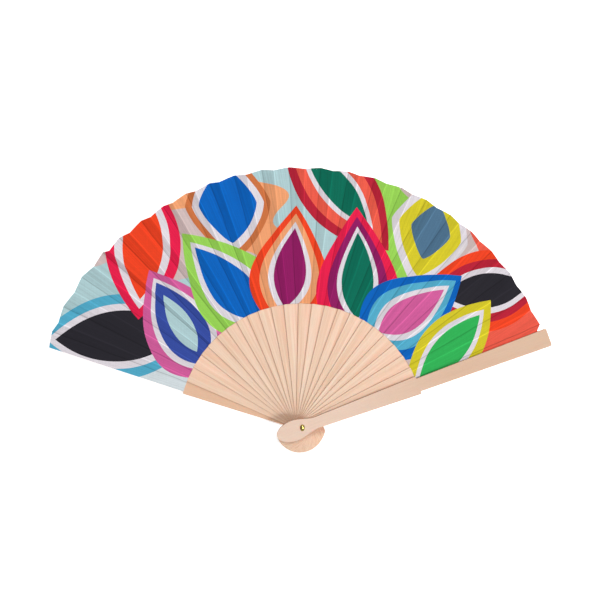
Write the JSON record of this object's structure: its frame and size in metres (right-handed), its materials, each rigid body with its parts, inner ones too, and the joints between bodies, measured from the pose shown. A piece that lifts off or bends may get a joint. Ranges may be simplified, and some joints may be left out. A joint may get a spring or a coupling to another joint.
{
  "type": "folding hand fan",
  "caption": "Folding hand fan lying open, with flat wooden sticks on one rivet, two broad guards and a pleated printed cloth leaf that folds shut.",
  "frame": {"origin": "on the rivet's axis, in the plane of the rear guard's back, which is also the underside of the rivet's cap", "axes": "+Z along the rivet towards the front guard, +Y from the rivet through the middle of the open leaf, +X towards the front guard's side"},
  "size_m": [0.3983, 0.2273, 0.0283],
  "materials": {
    "wood": "pale, fine-grained, sanded and unvarnished",
    "leaf_cloth": null,
    "brass": "polished"
  },
  "bodies": {
    "rear_guard": {"rear_guard": "wood", "leaf_pleat_01": "leaf_cloth", "rivet": "brass", "rivet_cap": "brass"},
    "stick_01": {"stick_01": "wood", "leaf_pleat_02": "leaf_cloth"},
    "stick_02": {"stick_02": "wood", "leaf_pleat_03": "leaf_cloth"},
    "stick_03": {"stick_03": "wood", "leaf_pleat_04": "leaf_cloth"},
    "stick_04": {"stick_04": "wood", "leaf_pleat_05": "leaf_cloth"},
    "stick_05": {"stick_05": "wood", "leaf_pleat_06": "leaf_cloth"},
    "stick_06": {"stick_06": "wood", "leaf_pleat_07": "leaf_cloth"},
    "stick_07": {"stick_07": "wood", "leaf_pleat_08": "leaf_cloth"},
    "stick_08": {"stick_08": "wood", "leaf_pleat_09": "leaf_cloth"},
    "stick_09": {"stick_09": "wood", "leaf_pleat_10": "leaf_cloth"},
    "stick_10": {"stick_10": "wood", "leaf_pleat_11": "leaf_cloth"},
    "stick_11": {"stick_11": "wood", "leaf_pleat_12": "leaf_cloth"},
    "stick_12": {"stick_12": "wood", "leaf_pleat_13": "leaf_cloth"},
    "stick_13": {"stick_13": "wood", "leaf_pleat_14": "leaf_cloth"},
    "stick_14": {"stick_14": "wood", "leaf_pleat_15": "leaf_cloth"},
    "stick_15": {"stick_15": "wood", "leaf_pleat_16": "leaf_cloth"},
    "stick_16": {"stick_16": "wood", "leaf_pleat_17": "leaf_cloth"},
    "stick_17": {"stick_17": "wood", "leaf_pleat_18": "leaf_cloth"},
    "stick_18": {"stick_18": "wood", "leaf_pleat_19": "leaf_cloth"},
    "stick_19": {"stick_19": "wood", "leaf_pleat_20": "leaf_cloth"},
    "stick_20": {"stick_20": "wood", "leaf_pleat_21": "leaf_cloth"},
    "stick_21": {"stick_21": "wood", "leaf_pleat_22": "leaf_cloth"},
    "stick_22": {"stick_22": "wood", "leaf_pleat_23": "leaf_cloth"},
    "front_guard": {"front_guard": "wood", "leaf_end": "leaf_cloth"}
  },
  "joints": [
    {"name": "fold_01", "type": "hinge", "parent": "rear_guard", "child": "stick_01", "pos_m": [0, 0, 0.0027], "axis": [0, 0, 1], "range_deg": [0, 5.92], "deforming": ["leaf_pleat_01"]},
    {"name": "fold_02", "type": "hinge", "parent": "stick_01", "child": "stick_02", "pos_m": [0, 0, 0.0037], "axis": [0, 0, 1], "range_deg": [0, 7.42], "deforming": ["leaf_pleat_02"]},
    {"name": "fold_03", "type": "hinge", "parent": "stick_02", "child": "stick_03", "pos_m": [0, 0, 0.0047], "axis": [0, 0, 1], "range_deg": [0, 7.02], "deforming": ["leaf_pleat_03"]},
    {"name": "fold_04", "type": "hinge", "parent": "stick_03", "child": "stick_04", "pos_m": [0, 0, 0.0057], "axis": [0, 0, 1], "range_deg": [0, 4.81], "deforming": ["leaf_pleat_04"]},
    {"name": "fold_05", "type": "hinge", "parent": "stick_04", "child": "stick_05", "pos_m": [0, 0, 0.0067], "axis": [0, 0, 1], "range_deg": [0, 6.02], "deforming": ["leaf_pleat_05"]},
    {"name": "fold_06", "type": "hinge", "parent": "stick_05", "child": "stick_06", "pos_m": [0, 0, 0.0077], "axis": [0, 0, 1], "range_deg": [0, 5.82], "deforming": ["leaf_pleat_06"]},
    {"name": "fold_07", "type": "hinge", "parent": "stick_06", "child": "stick_07", "pos_m": [0, 0, 0.0087], "axis": [0, 0, 1], "range_deg": [0, 5.82], "deforming": ["leaf_pleat_07"]},
    {"name": "fold_08", "type": "hinge", "parent": "stick_07", "child": "stick_08", "pos_m": [0, 0, 0.0097], "axis": [0, 0, 1], "range_deg": [0, 5.72], "deforming": ["leaf_pleat_08"]},
    {"name": "fold_09", "type": "hinge", "parent": "stick_08", "child": "stick_09", "pos_m": [0, 0, 0.0107], "axis": [0, 0, 1], "range_deg": [0, 5.62], "deforming": ["leaf_pleat_09"]},
    {"name": "fold_10", "type": "hinge", "parent": "stick_09", "child": "stick_10", "pos_m": [0, 0, 0.0117], "axis": [0, 0, 1], "range_deg": [0, 6.32], "deforming": ["leaf_pleat_10"]},
    {"name": "fold_11", "type": "hinge", "parent": "stick_10", "child": "stick_11", "pos_m": [0, 0, 0.0127], "axis": [0, 0, 1], "range_deg": [0, 6.12], "deforming": ["leaf_pleat_11"]},
    {"name": "fold_12", "type": "hinge", "parent": "stick_11", "child": "stick_12", "pos_m": [0, 0, 0.0137], "axis": [0, 0, 1], "range_deg": [0, 6.92], "deforming": ["leaf_pleat_12"]},
    {"name": "fold_13", "type": "hinge", "parent": "stick_12", "child": "stick_13", "pos_m": [0, 0, 0.0147], "axis": [0, 0, 1], "range_deg": [0, 6.32], "deforming": ["leaf_pleat_13"]},
    {"name": "fold_14", "type": "hinge", "parent": "stick_13", "child": "stick_14", "pos_m": [0, 0, 0.0157], "axis": [0, 0, 1], "range_deg": [0, 6.02], "deforming": ["leaf_pleat_14"]},
    {"name": "fold_15", "type": "hinge", "parent": "stick_14", "child": "stick_15", "pos_m": [0, 0, 0.0167], "axis": [0, 0, 1], "range_deg": [0, 6.32], "deforming": ["leaf_pleat_15"]},
    {"name": "fold_16", "type": "hinge", "parent": "stick_15", "child": "stick_16", "pos_m": [0, 0, 0.0177], "axis": [0, 0, 1], "range_deg": [0, 6.12], "deforming": ["leaf_pleat_16"]},
    {"name": "fold_17", "type": "hinge", "parent": "stick_16", "child": "stick_17", "pos_m": [0, 0, 0.0187], "axis": [0, 0, 1], "range_deg": [0, 6.32], "deforming": ["leaf_pleat_17"]},
    {"name": "fold_18", "type": "hinge", "parent": "stick_17", "child": "stick_18", "pos_m": [0, 0, 0.0197], "axis": [0, 0, 1], "range_deg": [0, 6.02], "deforming": ["leaf_pleat_18"]},
    {"name": "fold_19", "type": "hinge", "parent": "stick_18", "child": "stick_19", "pos_m": [0, 0, 0.0207], "axis": [0, 0, 1], "range_deg": [0, 6.22], "deforming": ["leaf_pleat_19"]},
    {"name": "fold_20", "type": "hinge", "parent": "stick_19", "child": "stick_20", "pos_m": [0, 0, 0.0217], "axis": [0, 0, 1], "range_deg": [0, 6.32], "deforming": ["leaf_pleat_20"]},
    {"name": "fold_21", "type": "hinge", "parent": "stick_20", "child": "stick_21", "pos_m": [0, 0, 0.0227], "axis": [0, 0, 1], "range_deg": [0, 6.42], "deforming": ["leaf_pleat_21"]},
    {"name": "fold_22", "type": "hinge", "parent": "stick_21", "child": "stick_22", "pos_m": [0, 0, 0.0237], "axis": [0, 0, 1], "range_deg": [0, 6.62], "deforming": ["leaf_pleat_22"]},
    {"name": "fold_23", "type": "hinge", "parent": "stick_22", "child": "front_guard", "pos_m": [0, 0, 0.0247], "axis": [0, 0, 1], "range_deg": [0, 4.61], "deforming": ["leaf_pleat_23"]}
  ],
  "couplings": [
    {"joint": "fold_02", "follows": "fold_01", "ratio": 1.2542},
    {"joint": "fold_03", "follows": "fold_01", "ratio": 1.1864},
    {"joint": "fold_04", "follows": "fold_01", "ratio": 0.81356},
    {"joint": "fold_05", "follows": "fold_01", "ratio": 1.0169},
    {"joint": "fold_06", "follows": "fold_01", "ratio": 0.98305},
    {"joint": "fold_07", "follows": "fold_01", "ratio": 0.98305},
    {"joint": "fold_08", "follows": "fold_01", "ratio": 0.9661},
    {"joint": "fold_09", "follows": "fold_01", "ratio": 0.94915},
    {"joint": "fold_10", "follows": "fold_01", "ratio": 1.0678},
    {"joint": "fold_11", "follows": "fold_01", "ratio": 1.0339},
    {"joint": "fold_12", "follows": "fold_01", "ratio": 1.1695},
    {"joint": "fold_13", "follows": "fold_01", "ratio": 1.0678},
    {"joint": "fold_14", "follows": "fold_01", "ratio": 1.0169},
    {"joint": "fold_15", "follows": "fold_01", "ratio": 1.0678},
    {"joint": "fold_16", "follows": "fold_01", "ratio": 1.0339},
    {"joint": "fold_17", "follows": "fold_01", "ratio": 1.0678},
    {"joint": "fold_18", "follows": "fold_01", "ratio": 1.0169},
    {"joint": "fold_19", "follows": "fold_01", "ratio": 1.0508},
    {"joint": "fold_20", "follows": "fold_01", "ratio": 1.0678},
    {"joint": "fold_21", "follows": "fold_01", "ratio": 1.0847},
    {"joint": "fold_22", "follows": "fold_01", "ratio": 1.1186},
    {"joint": "fold_23", "follows": "fold_01", "ratio": 0.77966}
  ]
}
